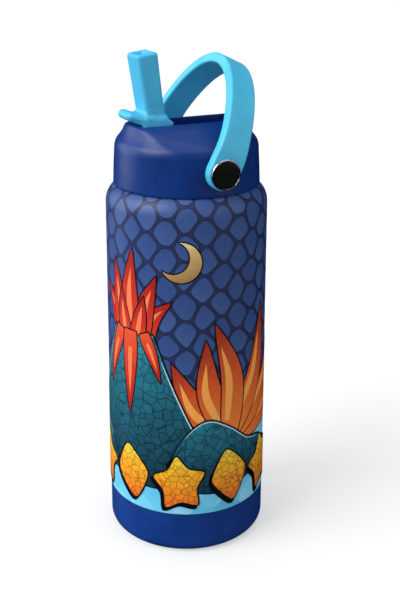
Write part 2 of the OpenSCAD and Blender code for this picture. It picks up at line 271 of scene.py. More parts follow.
def clear_straw(name):
    """Cloudy translucent plastic."""
    paint = Paint(name, 0.25, Transmission_Weight=0.5, IOR=1.49)
    paint.link(paint.ramp(paint.noise(6, 2), [(0.3, "d2e2e8"), (0.7, "e6f1f5")]), "Base Color")
    paint.roughness_band(paint.noise(2, 2), 0.2, 0.32)
    return paint.material


NAVY_LID = moulded("navy_lid", "012c72", "02307a", "033582", 0.36, Specular_IOR_Level=0.38)
NAVY_BOOT = moulded("navy_boot", "013079", "023481", "043989", 0.5, 0.25, 0.03,
                    Specular_IOR_Level=0.25)
SKY_HARD = moulded("sky_hard", "3fb4e2", "45b9e6", "4dbfea", 0.4)
SKY_SOFT = moulded("sky_soft", "3fb4e2", "45b9e6", "4dbfea", 0.45, 0.25, 0.02)
SKY_LOOP = moulded("sky_loop", "42bae3", "49c0e8", "52c6ec", 0.43, 0.3, 0.02)
PALE = moulded("pale_plastic", "cdd2d6", "d6dade", "e0e4e7", 0.45)
SILICONE = moulded("clear_silicone", "d3dadd", "dde3e6", "e8edef", 0.5, 0.25)
STEEL = brushed("bare_steel", "9a9c9f", "c9cbce", 0.3)
CHROME = brushed("chrome", "cfd2d6", "eff1f4", 0.12, (1, 1, 1))
BRASS = brushed("brass", "9c7a3a", "c9a457", 0.3)
BLACK = spun_black("black_face")
STRAW = clear_straw("straw_plastic")
GROUND = inked("ink_ground", [(0.0, "232c50"), (0.5, "2b3560"), (1.0, "39456f")], 2)
CELL_LINE = inked("ink_cell_line", [(0.0, "1d2547"), (1.0, "232b50")])
CELL = inked("ink_cell", [(0.0, "2c447e"), (0.5, "34508c"), (1.0, "4a679e")], 2)
BAND = facets("ink_band")
OUTLINE = inked("ink_outline", [(0.0, "05060d"), (1.0, "0c0f1e")])
HILL = inked("ink_hill", [(0.0, "0b3346"), (0.35, "15556b"), (0.7, "227c92"), (1.0, "4cabb8")],
             2, 4.2, 0.07, 0.45)
RIM = inked("ink_rim", [(0.0, "8fc0cc"), (1.0, "d5e9ee")])
FLAME = inked("ink_flame", [(0.0, "8c1216"), (0.35, "c92c1e"), (0.7, "ec5a30"), (1.0, "ff8a55")])
FAN = inked("ink_fan", [(0.0, "9c2416"), (0.3, "d3521f"), (0.65, "f07c2c"), (1.0, "ffab4e")])
STONE = inked("ink_stone", [(0.0, "6b4c30"), (0.4, "a8834f"), (0.75, "d3af70"), (1.0, "ecd59a")])
GOLD = inked("ink_gold", [(0.0, "f0641a"), (0.35, "fb8f1c"), (0.7, "fdb822"), (1.0, "ffdf45")],
             1.5, 3.0, 0.075, 0.5)


# ---- mesh makers


def placed(name, data):
    """New object in the scene."""
    made = bpy.data.objects.new(name, data)
    bpy.context.scene.collection.objects.link(made)
    return made


def make_piece(name, points, faces, body, material, slot, smooth_angle=35, tone=None):
    """A mesh object from points in millimetres. Edges sharper than smooth_angle stay sharp."""
    mesh = bpy.data.meshes.new(name)
    mesh.from_pydata((np.asarray(points) * MM).tolist(), [], faces)
    mesh.materials.append(material)
    if tone is not None:
        layer = mesh.attributes.new("tone", "FLOAT", "POINT")
        layer.data.foreach_set("value", np.asarray(tone, dtype=np.float32))
    shape = bmesh.new()
    shape.from_mesh(mesh)
    bmesh.ops.recalc_face_normals(shape, faces=shape.faces)
    limit = math.radians(smooth_angle)
    for edge in shape.edges:
        edge.smooth = len(edge.link_faces) == 2 and edge.calc_face_angle(0) < limit
    for face in shape.faces:
        face.smooth = True
    shape.to_mesh(mesh)
    shape.free()
    made = placed(name, mesh)
    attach(made, body)
    return made


def lathe(outline, steps):
    """Points and faces of a closed outline of (r, z) turned round Z."""
    count = len(outline)
    points, faces, rings = [], [], []
    for r, z in outline:
        if r < 1e-6:
            rings.append([len(points)] * steps)
            points.append((0, 0, z))
            continue
        rings.append(list(range(len(points), len(points) + steps)))
        for k in range(steps):
            a = TURN * k / steps
            points.append((r * math.cos(a), r * math.sin(a), z))
    for i in range(count):
        low, high = rings[i], rings[(i + 1) % count]
        if low[0] == low[1] and high[0] == high[1]:
            continue
        for k in range(steps):
            corner = [low[k], low[(k + 1) % steps], high[(k + 1) % steps], high[k]]
            faces.append(list(dict.fromkeys(corner)))
    return points, faces


def arc(centre_r, centre_z, radius, start, end, steps):
    """Points along an arc in the (r, z) plane, angles in degrees."""
    return [
        (centre_r + radius * math.cos(a), centre_z + radius * math.sin(a))
        for a in (math.radians(start + (end - start) * i / steps) for i in range(steps + 1))
    ]


def joined(parts):
    """Several (points, faces) as one."""
    points, faces = [], []
    for more, shape in parts:
        base = len(points)
        points.extend(tuple(p) for p in more)
        faces.extend([base + i for i in f] for f in shape)
    return points, faces


def turned_to_x(points, centre, side):
    """Points made round Z, laid along X through centre. side is 1 or -1."""
    return [(side * z, centre[1] + y, centre[2] + x) for x, y, z in points]


# ---- solids from distance fields


def surface_net(field, low, high, step):
    """Mesh of the surface where field is 0: one point in each crossed cell, moved onto it."""
    axes = [np.arange(a, b + step, step) for a, b in zip(low, high)]
    grid = np.meshgrid(*axes, indexing="ij")
    values = field(*grid)
    inside = values < 0
    corner_sum = inside.astype(int)
    for axis in range(3):
        corner_sum = np.delete(corner_sum, 0, axis) + np.delete(corner_sum, -1, axis)
    active = (corner_sum > 0) & (corner_sum < 8)
    number = np.full(active.shape, -1)
    cells = np.argwhere(active)
    number[active] = np.arange(len(cells))
    total = np.zeros((len(cells), 3))
    hits = np.zeros(len(cells))
    for axis in range(3):
        others = [k for k in range(3) if k != axis]
        for corner in ((0, 0), (0, 1), (1, 0), (1, 1)):
            offset = np.zeros(3, dtype=int)
            offset[others] = corner
            start = cells + offset
            end = start.copy()
            end[:, axis] += 1
            f0, f1 = values[tuple(start.T)], values[tuple(end.T)]
            crossed = (f0 < 0) != (f1 < 0)
            place = offset + np.zeros((len(cells), 3))
            place[:, axis] = np.where(crossed, f0 / np.where(crossed, f0 - f1, 1), 0)
            total[crossed] += place[crossed]
            hits[crossed] += 1
    points = np.array(low) + (cells + total / hits[:, None]) * step
    faces = []
    for axis in range(3):
        u, v = [k for k in range(3) if k != axis]
        edges = np.argwhere(np.diff(inside, axis=axis))
        edges = edges[(edges[:, u] > 0) & (edges[:, v] > 0)]
        edges = edges[(edges[:, u] < active.shape[u]) & (edges[:, v] < active.shape[v])]
        ring = []
        for du, dv in ((-1, -1), (0, -1), (0, 0), (-1, 0)):
            cell = edges.copy()
            cell[:, u] += du
            cell[:, v] += dv
            ring.append(number[tuple(cell.T)])
        quads = np.stack(ring, axis=1)
        turn = inside[tuple(edges.T)] == (axis != 1)
        quads[~turn] = quads[~turn][:, ::-1]
        faces.append(quads)
    for _ in range(3):
        points = pulled(field, points, step)
    return points, np.concatenate(faces).tolist()


def pulled(field, points, step):
    """Points moved towards the surface of the field by one Newton step."""
    tiny = 0.02
    value = field(*points.T)
    slope = np.stack([
        (field(*(points + tiny * unit).T) - field(*(points - tiny * unit).T)) / (2 * tiny)
        for unit in np.eye(3)
    ], axis=1)
    size = np.maximum((slope**2).sum(axis=1), 0.2)
    move = slope * (value / size)[:, None]
    length = np.linalg.norm(move, axis=1)
    return points - move * np.minimum(1, 0.5 * step / np.maximum(length, 1e-9))[:, None]


def both(a, b, r):
    """Where a and b meet, with the outer edge rounded to radius r."""
    return np.minimum(np.maximum(a, b), -r) + np.hypot(np.maximum(a + r, 0), np.maximum(b + r, 0))


def either(a, b, r):
    """a and b joined, with the inner corner filled to radius r."""
    return np.maximum(np.minimum(a, b), r) - np.hypot(np.maximum(r - a, 0), np.maximum(r - b, 0))


def without(a, b, r):
    """a with b cut out, and the edge of the cut rounded to radius r."""
    return both(a, -b, r)


def box2(x, y, half_x, half_y, r):
    """Signed distance to a rectangle round the origin with corners of radius r."""
    dx, dy = np.abs(x) - half_x + r, np.abs(y) - half_y + r
    return np.hypot(np.maximum(dx, 0), np.maximum(dy, 0)) + np.minimum(np.maximum(dx, dy), 0) - r


def segment_distance(x, y, a, b):
    """Squared distance from (x, y) to the segment from a to b."""
    edge = b - a
    wx, wy = x - a[0], y - a[1]
    t = np.clip((wx * edge[0] + wy * edge[1]) / (edge @ edge), 0, 1)
    return (wx - edge[0] * t) ** 2 + (wy - edge[1] * t) ** 2


def polygon2(y, z, corners):
    """Signed distance to a polygon, negative inside."""
    corners = np.array(corners, dtype=float)
    best = np.full(np.shape(y), 1e9)
    sign = np.ones(np.shape(y))
    for a, b in zip(corners, np.roll(corners, -1, axis=0)):
        best = np.minimum(best, segment_distance(y, z, a, b))
        turn = (b - a)[0] * (z - a[1]) - (b - a)[1] * (y - a[0])
        above = (z >= a[1]) & (z < b[1]) & (turn > 0)
        below = (z < a[1]) & (z >= b[1]) & (turn < 0)
        sign = np.where(above | below, -sign, sign)
    return sign * np.sqrt(best)


def spline(points, steps):
    """Smooth open curve through points (Catmull-Rom)."""
    p = np.array(points, dtype=float)
    p = np.vstack([2 * p[0] - p[1], p, 2 * p[-1] - p[-2]])
    out = []
    for i in range(1, len(p) - 2):
        for k in range(steps):
            t = k / steps
            out.append(0.5 * (2 * p[i] + (p[i + 1] - p[i - 1]) * t
                              + (2 * p[i - 1] - 5 * p[i] + 4 * p[i + 1] - p[i + 2]) * t**2
                              + (3 * p[i] - p[i - 1] - 3 * p[i + 1] + p[i + 2]) * t**3))
    out.append(p[-2])
    return np.array(out)


# ---- bottle


def shell_outline():
    """Closed (r, z) outline of the outer steel wall, from the weld up to the neck's rim."""
    arc_r = BODY_R - SHOULDER_R
    root = math.degrees(math.acos((NECK_R - arc_r) / SHOULDER_R))
    inner = SHOULDER_R - STEEL_T
    inner_root = math.degrees(math.acos((NECK_R - STEEL_T - arc_r) / inner))
    outside = [(STEP_R, SHELL_LOW), (STEP_R, BOOT_TOP - 0.2)]
    outside += arc(BODY_R - 0.35, BOOT_TOP + 0.15, 0.35, -90, 0, 4)
    outside += arc(arc_r, SHOULDER_Z, SHOULDER_R, 0, root, 30)
    outside += [(NECK_R, NECK_TOP - STEEL_T)]
    inside = [(NECK_R - STEEL_T, NECK_TOP - STEEL_T)]
    inside += arc(arc_r, SHOULDER_Z, inner, inner_root, 0, 20)
    inside += [(BODY_R - STEEL_T, BOOT_TOP + STEEL_T), (STEP_R - STEEL_T, BOOT_TOP + STEEL_T)]
    return outside + inside + [(STEP_R - STEEL_T, SHELL_LOW)]


def thread():
    """Closed ridge of screw thread with tapered ends."""
    turns, pitch, low_z, round_steps = 1.3, 4.0, LID_LOW + 2.8, 72
    steps = int(round_steps * turns)
    points, faces = [], []
    for i in range(steps + 1):
        a = TURN * i / round_steps
        grow = min(1, (i + 0.4) / 8, (steps - i + 0.4) / 8)
        for reach, rise in ((-0.4, -1.1), (0.7 * grow, -0.75), (grow, -0.4),
                            (grow, 0.4), (0.7 * grow, 0.75), (-0.4, 1.1)):
            r = NECK_R + reach
            z = low_z + pitch * i / round_steps + rise
            points.append((r * math.cos(a), r * math.sin(a), z))
    for i in range(steps):
        for k in range(6):
            a, b = 6 * i + k, 6 * i + (k + 1) % 6
            faces.append([a, b, b + 6, a + 6])
    faces += [list(range(6)), [6 * steps + k for k in range(6)]]
    return points, faces


def build_bottle():
    """Steel wall with its thread, and the boot with grooves under its foot."""
    walls = joined([lathe(shell_outline(), 256), thread()])
    tone = [0.35] * len(walls[0])
    shell = make_piece("printed_shell", *walls, "bottle", GROUND, "printed_steel", 40, tone)
    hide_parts("outer_shell")
    recess, round_out, round_in, lip, rubber_t = 12, 4.3, 2.4, 0.35, 2.0
    foot = [(0, 0.8), (recess - 0.4, 0.8), (recess, 0.4)]
    for r in (recess + 0.3, 17, 22, 27):
        foot += [(r, 0.0), (r + 3.2, 0.0), (r + 3.5, 0.35), (r + 4.3, 0.35), (r + 4.6, 0.0)]
    foot += arc(BODY_R - round_out, round_out, round_out, -90, 0, 16)
    foot += arc(BODY_R - lip, BOOT_TOP - lip - 0.05, lip, 0, 90, 5)
    foot += [(STEP_R, BOOT_TOP - 0.05), (STEP_R, rubber_t + round_in)]
    foot += arc(STEP_R - round_in, rubber_t + round_in, round_in, 0, -90, 8) + [(0, rubber_t)]
    boot = make_piece("soft_boot", *lathe(foot, 256), "bottle", NAVY_BOOT, "navy_silicone")
    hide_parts("silicone_boot")


# ---- lid

WELL_Y, WELL_HALF, WELL_RISE = -15.7, 8.5, 3
SEAT_R, SEAT_DEPTH = 6.2, 0.26
SCREW_BORE_R, SCREW_BORE_X = 3.4, 29
PIN_R, PIN_END_X = 1.5, 11
VENT_Y, VENT_R = 10, 1.0
ROOF_FALL = 0.37


def lid_side(z):
    """Radius of the lid's outside at height z, and its slope."""
    insets = ((0, -3), (0, 0), (0.25, 7), (0.6, 14), (0.8, 17.2), (1.5, 19.5), (2.9, 21.4),
              (4.2, 23.2), (5.0, 25), (5.6, 26.8))
    points = [(LID_R - inset, LID_LOW + rise) for inset, rise in insets]
    shape = spline(points + [(LID_R - 6.0, LID_TOP), (LID_R - 6.2, LID_TOP + 3)], 6)
    radius = np.interp(z, shape[:, 1], shape[:, 0])
    slope = np.gradient(shape[:, 0], shape[:, 1])
    return radius, np.interp(z, shape[:, 1], slope)


def lid_roof(x, z):
    """Distance above the slopes that fall from the slot's rims to the sides."""
    above = z - LID_TOP + ROOF_FALL * (np.abs(x) - SLOT_W / 2 - 1.5)
    return above / math.hypot(1, ROOF_FALL)


def lid_field(x, y, z):
    """Lid with its slot, the spout's well, the pivots' seats, the pin's bore and the vent cut."""
    reach = np.hypot(x, y)
    radius, slope = lid_side(z)
    side = (reach - radius) / np.sqrt(1 + slope**2)
    solid = both(side, z - LID_TOP, 1.3)
    solid = both(solid, lid_roof(x, z), 2.2)
    solid = both(solid, LID_LOW - z, 0.4)
    middle = (SLOT_Y[0] + SLOT_Y[1]) / 2
    slot = box2(x, y - middle, SLOT_W / 2, (SLOT_Y[1] - SLOT_Y[0]) / 2, 0.9)
    solid = without(solid, both(slot, SLOT_FLOOR - z, 0.8), 0.55)
    well = box2(x, y - WELL_Y, SLOT_W / 2, WELL_HALF, 0.3)
    solid = without(solid, np.maximum(well, z - SLOT_FLOOR - WELL_RISE), 0.15)
    solid = without(solid, np.maximum(reach - WALL_R, z - SLOT_FLOOR + 1.6), 0.1)
    skirt = np.maximum(reach - LID_R + 0.8, z - LID_LOW - 1.5)
    solid = without(solid, skirt, 0.2)
    pivot = np.hypot(y - LOOP_AXIS[1], z - LOOP_AXIS[2])
    seat = np.maximum(pivot - SEAT_R, LID_R - SEAT_DEPTH - np.abs(x))
    solid = without(solid, seat, 0.15)
    solid = without(solid, np.maximum(pivot - SCREW_BORE_R, SCREW_BORE_X - np.abs(x)), 0.1)
    solid = without(solid, np.maximum(spout_reach(y, z) - PIN_R, np.abs(x) - PIN_END_X), 0.1)
    vent = np.maximum(np.hypot(x, y - VENT_Y) - VENT_R, np.abs(z - SLOT_FLOOR) - 4)
    return without(solid, vent, 0.25)


def build_lid():
    edge = LID_R + 0.8
    low, high = (-edge, -edge, LID_LOW - 0.8), (edge, edge, LID_TOP + 0.8)
    mesh = surface_net(lid_field, low, high, 0.5)
    lid = make_piece("lid_top", *mesh, "lid", NAVY_LID, "navy_plastic", 50)
    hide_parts("lid_shell")


# ---- spout

CHANNEL_R, PORT_R = 2.3, 2.6
SPIGOT_R, SPIGOT_TOP = 3.45, 22
SOCKET_GAP = 0.1
TIP_BORE_R = 2.0


def spout_reach(y, z):
    """Distance from the spout's pivot axis."""
    return np.hypot(y - SPOUT_AXIS[1], z - SPOUT_AXIS[2])


def spout_local(y, z):
    """Distance across and along the leaning spout from its pivot."""
    dy, dz = y - SPOUT_AXIS[1], z - SPOUT_AXIS[2]
    across = dy * math.cos(SPOUT_LEAN) + dz * math.sin(SPOUT_LEAN)
    along = -dy * math.sin(SPOUT_LEAN) + dz * math.cos(SPOUT_LEAN)
    return across, along


def post_half(along):
    """Half width and half depth of the post, which widens towards its top."""
    rise = np.clip((along - 6) / (SPOUT_LEN - 6), 0, 1)
    return 6.55 + 0.35 * rise, 4.35 + 0.5 * rise


def spout_base_field(x, y, z):
    """Barrel, block, thumb tab and foot of the post, less the water channel and pin holes."""
    across, along = spout_local(y, z)
    top = LID_TOP
    block = polygon2(y, z, [
        (-22.9, SPOUT_AXIS[2] + 1.2), (-23.8, top + 0.5), (-23.2, top + 2.4), (-21.4, top + 4.0),
        (-12.4, top + 3.9), (-9.1, top), (-10.35, top - 0.5), (-16.2, SPOUT_AXIS[2])])
    barrel = spout_reach(y, z) - BARREL_R
    edge = [(-18, 0.35), (-24.4, 0.35), (-29.35, 2.2), (-30.3, 3.0), (-30.6, 4.0), (-30.2, 5.2),
            (-29.2, 5.85), (-28.0, 5.85), (-26.4, 5.35), (-24.2, 4.4), (-22.3, 3.8), (-18, 3.6)]
    tab = polygon2(y, z, [(a, top + b) for a, b in edge]) - 0.05
    profile = either(np.minimum(block, barrel), tab, 0.9)
    half = np.interp(y, (-30.6, -23.4), (6.5, BARREL_W / 2))
    corner = np.interp(z, (top - 0.8, top + 1.8), (0.4, 2.4))
    solid = both(profile, np.abs(x) - half, corner)
    half_x, half_y = post_half(along)
    heel = box2(x, across - HEEL_T / 2, half_x, half_y + HEEL_T / 2, POST_CORNER)
    post = np.maximum(heel, 5 - along)
    fillet = np.interp(across, (-4.6, -2.5), (2.6, 0.7))
    solid = both(either(solid, post, fillet), along - SEAM_H + SEAM_GAP, 0.03)
    reach = np.hypot(x, across)
    spigot = np.maximum(reach - SPIGOT_R, np.abs(along - SPIGOT_TOP + 8) - 8)
    solid = np.minimum(solid, spigot)
    channel = np.minimum(
        np.maximum(reach - CHANNEL_R, -along - 1),
        np.maximum(np.hypot(x, y - SPOUT_AXIS[1]) - PORT_R, z - SPOUT_AXIS[2] - 1))
    solid = without(solid, channel, 0.15)
    pin = spout_reach(y, z) - PIN_R - 0.05
    return without(solid, np.maximum(pin, 5.0 - np.abs(x)), 0.1)


def mouthpiece_field(x, y, z):
    """Soft post above the seam, bored for water and dished at its mouth."""
    across, along = spout_local(y, z)
    post = box2(x, across, *post_half(along), POST_CORNER)
    solid = both(post, along - SPOUT_LEN, 1.5)
    solid = both(solid, SEAM_H - along, 0.03)
    reach = np.hypot(x, across)
    socket = np.maximum(reach - SPIGOT_R, along - SPIGOT_TOP) - SOCKET_GAP
    solid = without(solid, socket, 0.1)
    solid = without(solid, reach - TIP_BORE_R, 0.3)
    dish = box2(x, across, 4.4, 2.7, 1.8) + (SPOUT_LEN - along) * 0.5
    return without(solid, dish, 0.7)


def build_spout():
    """Hard spout base and soft mouthpiece."""
    grid = 0.3
    base = surface_net(spout_base_field, (-8.4, -31.6, 182.4), (8.4, -7.2, 214.0), grid)
    hard = make_piece("spout_carrier", *base, "spout", SKY_HARD, "sky_plastic", 50)
    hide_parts("spout_base")
    tip = surface_net(mouthpiece_field, (-7.6, -28, 201.6), (7.6, -11.2, 227.6), grid)
    soft = make_piece("soft_mouthpiece", *tip, "spout", SKY_SOFT, "sky_silicone", 50)
    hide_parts("mouthpiece")


# ---- carry loop and its pivots

EYE_BORE_R = 4.2


def loop_middle():
    """Middle line of the band, from the pivot over the top, in the loop's own plane."""
    x = LOOP_OUT_X - LOOP_T / 2
    corners = ((x, LOOP_END_R), (x, 18.5), (21, LOOP_REACH), (0, LOOP_REACH))
    a, b, c, d = (np.array(p) for p in corners)
    t = np.linspace(0, 1, 60)[:, None]
    curve = a * (1 - t) ** 3 + 3 * b * t * (1 - t) ** 2 + 3 * c * t * t * (1 - t) + d * t**3
    return np.vstack([[(x, -12)], curve])


def loop_field(x, y, z):
    """Field of the upright loop, its pivots on the X axis at z = 0."""
    line = loop_middle()
    on_grid = x.ndim == 3
    flat_x, flat_z = (np.abs(x[:, 0, :]), z[:, 0, :]) if on_grid else (np.abs(x), z)
    best = np.full(flat_x.shape, 1e9)
    for a, b in zip(line[:-1], line[1:]):
        best = np.minimum(best, segment_distance(flat_x, flat_z, a, b))
    band = np.sqrt(best) - LOOP_T / 2
    if on_grid:
        band = np.broadcast_to(band[:, None, :], x.shape)
    eye = np.hypot(y, z) - LOOP_END_R
    rise = np.clip((z - 2) / 18, 0, 1)
    half = LOOP_END_R + (LOOP_HALF_W - LOOP_END_R) * (rise * rise * (3 - 2 * rise))
    strip = np.maximum(np.abs(y) - half, -z)
    solid = both(band, np.minimum(eye, strip), 1.0)
    return without(solid, np.hypot(y, z) - EYE_BORE_R, 0.1)


def leaned(points):
    """Points of the upright loop, tilted back and moved to the pivot."""
    c, s = math.cos(LOOP_LEAN), math.sin(LOOP_LEAN)
    p = np.asarray(points)
    return np.stack([p[:, 0], p[:, 1] * c + p[:, 2] * s + LOOP_AXIS[1],
                     -p[:, 1] * s + p[:, 2] * c + LOOP_AXIS[2]], axis=1)


def build_loop():
    """Carry loop, and the rim and face of each pivot button."""
    half_x = LOOP_OUT_X + 0.8
    low, high = (-half_x, -8.2, -8.2), (half_x, 8.2, LOOP_REACH + 3.2)
    points, faces = surface_net(loop_field, low, high, 0.45)
    loop = make_piece("soft_loop", leaned(points), faces, "loop", SKY_LOOP, "sky_rubber", 60)
    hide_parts("carry_loop")
    inner, outer = LOOP_OUT_X + 0.1, BUTTON_X
    cap_r = BUTTON_R - 0.6
    rim = arc(BUTTON_R - 0.3, inner + 0.3, 0.3, -90, 0, 4)
    rim += arc(BUTTON_R - 0.55, outer - 0.55, 0.55, 0, 90, 8)
    rim += arc(cap_r + 0.12, outer - 0.12, 0.12, 90, 180, 3) + [(cap_r, inner)]
    face = [(0, inner + 0.8), (cap_r - 0.05, inner + 0.8), (cap_r - 0.05, outer - 0.3)]
    face += arc(cap_r - 0.3, outer - 0.4, 0.25, 0, 90, 4)
    face += [(cap_r - 0.5, outer - 0.15), (0, outer - 0.15)]
    for name, outline, paint, slot, node in (
        ("button_rims", rim, CHROME, "chrome", "pivot_rings"),
        ("button_faces", face, BLACK, "black_face", "pivot_caps"),
    ):
        points, faces = lathe(outline, 128)
        pair = joined([(turned_to_x(points, LOOP_AXIS, side), faces) for side in (1, -1)])
        made = make_piece(name, *pair, "lid", paint, slot, 30)
        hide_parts(node)


# ---- printed artwork

INK_STEP = 0.03  # rise of one layer
INK_SINK = -0.06  # foot of each plate, inside the wall
STRIP_MM = 2.0
SHOULDER_ROW = 0.8
BAND_LAYER = 3
ORNAMENT_LAYER = 15
GIRTH = TURN * BODY_R


def on_wall(u, s, lift):
    """Point at girth u and height s on the wall, raised by lift. Above the barrel s follows
    the shoulder. The wall is flat across each strip, so that stacked inks stay parallel.
    """
    strip = math.floor(u / STRIP_MM)
    share = u / STRIP_MM - strip
    left, right = strip * STRIP_MM / BODY_R, (strip + 1) * STRIP_MM / BODY_R
    bend = max(0.0, (s - SHOULDER_Z) / SHOULDER_R)
    r = BODY_R - SHOULDER_R + (SHOULDER_R + lift) * math.cos(bend)
    z = min(s, SHOULDER_Z) + (SHOULDER_R + lift) * math.sin(bend)
    x = (1 - share) * math.sin(left) + share * math.sin(right)
    y = (1 - share) * math.cos(left) + share * math.cos(right)
    return (r * x, -r * y, z)


class Ink:
    """Flat shapes of one colour, wrapped round the wall as thin closed plates."""

    def __init__(self):
        self.points, self.faces, self.tones = [], [], []

    def add(self, outline, layer, tone=0.5):
        """tone is a number, or a function of (u, s)."""
        flat = bmesh.new()
        flat.faces.new([flat.verts.new((float(u), float(s), 0)) for u, s in outline])
        flat.normal_update()
        bmesh.ops.triangulate(flat, faces=flat.faces)
        us = [v.co.x for v in flat.verts]
        ss = [v.co.y for v in flat.verts]
        cuts = [(Vector((k * STRIP_MM, 0, 0)), Vector((1, 0, 0)))
                for k in range(math.ceil(min(us) / STRIP_MM), math.floor(max(us) / STRIP_MM) + 1)]
        cuts += [(Vector((0, row, 0)), Vector((0, 1, 0)))
                 for row in np.arange(SHOULDER_Z, max(ss), SHOULDER_ROW)]
        for spot, normal in cuts:
            everything = flat.verts[:] + flat.edges[:] + flat.faces[:]
            bmesh.ops.bisect_plane(flat, geom=everything, plane_co=spot, plane_no=normal, dist=1e-5)
        bmesh.ops.remove_doubles(flat, verts=flat.verts, dist=1e-4)
        flat.verts.index_update()
        base = len(self.points)
        count = len(flat.verts)
        for lift in (layer * INK_STEP, INK_SINK):
            for v in flat.verts:
                self.points.append(on_wall(v.co.x, v.co.y, lift))
                self.tones.append(tone(v.co.x, v.co.y) if callable(tone) else tone)
        for f in flat.faces:
            ring = [base + v.index for v in f.verts]
            self.faces.append(ring)
            self.faces.append([i + count for i in reversed(ring)])
        for e in flat.edges:
            if len(e.link_faces) == 1:
                a, b = (base + v.index for v in e.verts)
                self.faces.append([a, b, b + count, a + count])
        flat.free()

    def piece(self, name, material):
        return make_piece(name, self.points, self.faces, "bottle", material, "printed_steel",
                          40, self.tones)


def units(vectors):
    """Vectors scaled to length 1."""
    return vectors / np.maximum(np.linalg.norm(vectors, axis=1), 1e-9)[:, None]


def grown(outline, width):
    """Outline moved outwards by width along its corners' normals."""
    p = np.array(outline, dtype=float)
    back, ahead = units(p - np.roll(p, 1, axis=0)), units(np.roll(p, -1, axis=0) - p)
    area = (p[:, 0] * np.roll(p[:, 1], -1) - np.roll(p[:, 0], -1) * p[:, 1]).sum()
    sense = 1 if area > 0 else -1
    normal = np.stack([back[:, 1] + ahead[:, 1], -back[:, 0] - ahead[:, 0]], axis=1) * sense
    reach = width / np.maximum(np.linalg.norm(normal, axis=1) / 2, 0.55)
    return p + units(normal) * reach[:, None]


def rounded(outline, cut):
    """Closed outline with its corners cut back smoothly. cut is the first share of each side."""
    p = np.array(outline, dtype=float)
    for _ in range(3):
        q = np.roll(p, -1, axis=0)
        p = np.stack([(1 - cut) * p + cut * q, cut * p + (1 - cut) * q], axis=1).reshape(-1, 2)
        cut = 0.25
    return p


def centre_line(points, steps):
    """Smooth line through points, its unit normals, and the share of its length at each place."""
    line = spline(points, steps)
    along = units(np.gradient(line, axis=0))
    return line, np.stack([-along[:, 1], along[:, 0]], axis=1), np.linspace(0, 1, len(line))


def tongue(spine, width, fullness=0.62):
    """Pointed leaf or flame along a curved spine of three points."""
    line, side, t = centre_line(spine, 8)
    half = width / 2 * np.sin(np.pi * np.clip(0.16 + 0.84 * t, 0, 1) ** fullness) ** 0.9
    half[-1] = 0
    left, right = line + side * half[:, None], line - side * half[:, None]
    return np.vstack([left[:-1], line[-1:], right[:-1][::-1]])


def along_tone(start, end, low, high):
    """Tone that runs from low at start to high at end."""
    a, b = np.array(start, dtype=float), np.array(end, dtype=float)
    axis = (b - a) / ((b - a) @ (b - a))
    return lambda u, s: float(low + (high - low) * np.clip((np.array([u, s]) - a) @ axis, 0, 1))


def stroke(points, width):
    """Thin line with pointed ends."""
    line, side, t = centre_line(points, 6)
    half = width / 2 * (0.12 + 0.88 * np.sin(np.pi * t) ** 0.5)
    return np.vstack([line + side * half[:, None], (line - side * half[:, None])[::-1]])


def scale_cells():
    """Rounded diamond cells of the background, from an uneven staggered lattice round the wall."""
    columns, pitch_s, half_gap = 28, 12.7, 0.8
    pitch_u = GIRTH / columns
    low_s, high_s = 38, 176
    rows = int((high_s - low_s) / pitch_s) + 1
    centres = {}
    dice = random.Random(11)
    for i in range(columns):
        for j in range(-1, rows + 1):
            u = i * pitch_u + dice.uniform(-1.3, 1.3)
            s = low_s + (j + 0.5 * (i % 2)) * pitch_s + dice.uniform(-1.4, 1.4)
            centres[i, j] = np.array([u, s])
    found = []
    around = [(a, b) for a in range(-2, 3) for b in range(-2, 3) if (a, b) != (0, 0)]
    for i in range(columns):
        for j in range(rows):
            here = centres[i, j]
            cell = [here + d for d in 14 * np.array([(-1, -1), (1, -1), (1, 1), (-1, 1)])]
            for di, dj in around:
                key = ((i + di) % columns, j + dj)
                if key not in centres:
                    continue
                gap = centres[key] + np.array([GIRTH * ((i + di) // columns), 0]) - here
                length = np.linalg.norm(gap)
                cell = clipped(cell, here, gap / length, length / 2 - half_gap)
            if len(cell) > 2:
                found.append(rounded(cell, 0.17))
    return found


def clipped(cell, here, normal, reach):
    """Polygon cut to where (p - here) . normal <= reach."""
    out = []
    for a, b in zip(cell, cell[1:] + cell[:1]):
        da, db = (a - here) @ normal - reach, (b - here) @ normal - reach
        if da <= 0:
            out.append(a)
        if (da < 0) != (db < 0) and da != db:
            out.append(a + (b - a) * (da / (da - db)))
    return out


def print_background():
    """Navy cells with dark edges, each lighter towards its foot, and all lighter up the shoulder as
    a painted highlight.
    """
    lines, cells = Ink(), Ink()
    top_s = SHOULDER_Z + 11.5
    for cell in scale_cells():
        cell = clipped(list(cell), np.zeros(2), np.array([0.0, 1.0]), top_s)
        cell = clipped(cell, np.zeros(2), np.array([0.0, -1.0]), -BOOT_TOP - 16)
        if len(cell) < 3:
            continue
        edge = np.minimum(grown(cell, 0.38), [np.inf, top_s + 0.5])
        pick = random.uniform(-0.1, 0.12)
        low, high = min(p[1] for p in cell), max(p[1] for p in cell)
        lines.add(edge, 1, 0.4)
        # The last term lightens the cells above s = 145, up the shoulder: a painted highlight, not
        # print.
        cells.add(cell, 2, lambda u, s: 0.42 + pick + 0.22 * (high - s) / (high - low)
                  + 0.1 * max(0, (s - 145) / 25))
    lines.piece("print_cell_edges", CELL_LINE)
    cells.piece("print_cells", CELL)


def band_top(u):
    """Uneven upper edge of the light blue band."""
    turn = u / BODY_R
    return 52 + 4.5 * math.cos(turn - 2.6) + 1.5 * math.sin(7 * turn + 2)


